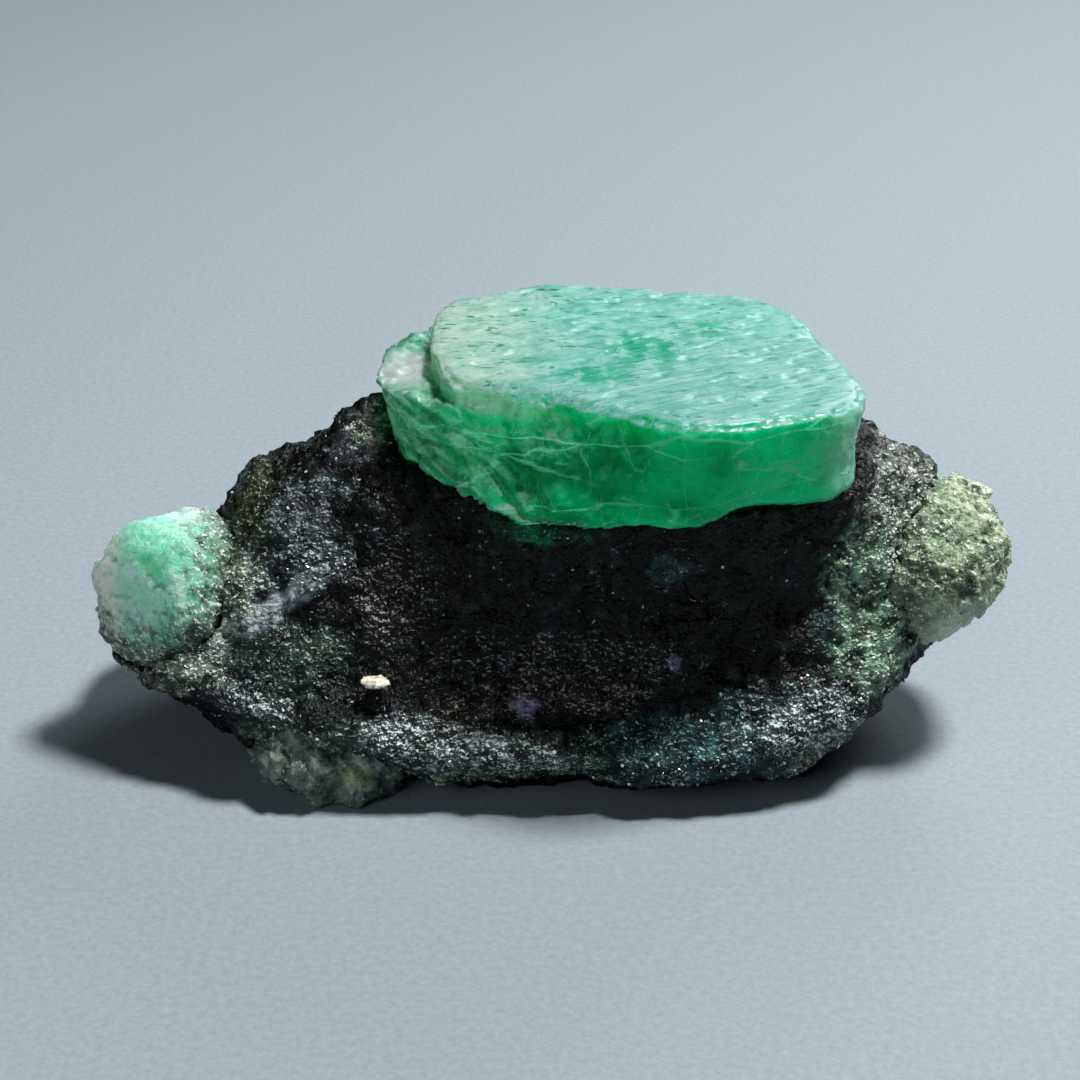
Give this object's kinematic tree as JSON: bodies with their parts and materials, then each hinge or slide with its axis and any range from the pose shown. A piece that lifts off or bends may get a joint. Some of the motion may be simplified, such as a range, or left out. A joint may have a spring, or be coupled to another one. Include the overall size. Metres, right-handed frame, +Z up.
{
  "type": "raw emerald crystal specimen",
  "caption": "Raw emerald specimen: a stubby six-sided green crystal seated on a lump of black mica schist, with a small crystal at one tip.",
  "frame": {"origin": "a point of the flat patch under the schist that the specimen rests on, below the middle of its length", "axes": "+Z up, +X along the lump's long side towards the olive nodule, -Y towards the front that shows the long crystal edge"},
  "size_m": [0.0598, 0.0285, 0.0262],
  "materials": {
    "mica_schist": "dark, granular, with glinting mica flakes",
    "emerald": "translucent green, frosted and finely ridged on top, with healed cracks inside",
    "pale_emerald": "cloudy pale green, softly rounded",
    "green_nodule": "granular olive green with a cream crust",
    "grey_green_quartz": "cloudy grey-green, waxy",
    "feldspar": "cream, matt"
  },
  "bodies": {
    "root": {"schist_matrix": "mica_schist", "main_emerald": "emerald", "left_emerald": "pale_emerald", "green_nodule": "green_nodule", "quartz_foot": "grey_green_quartz", "feldspar_grain": "feldspar"}
  },
  "joints": []
}
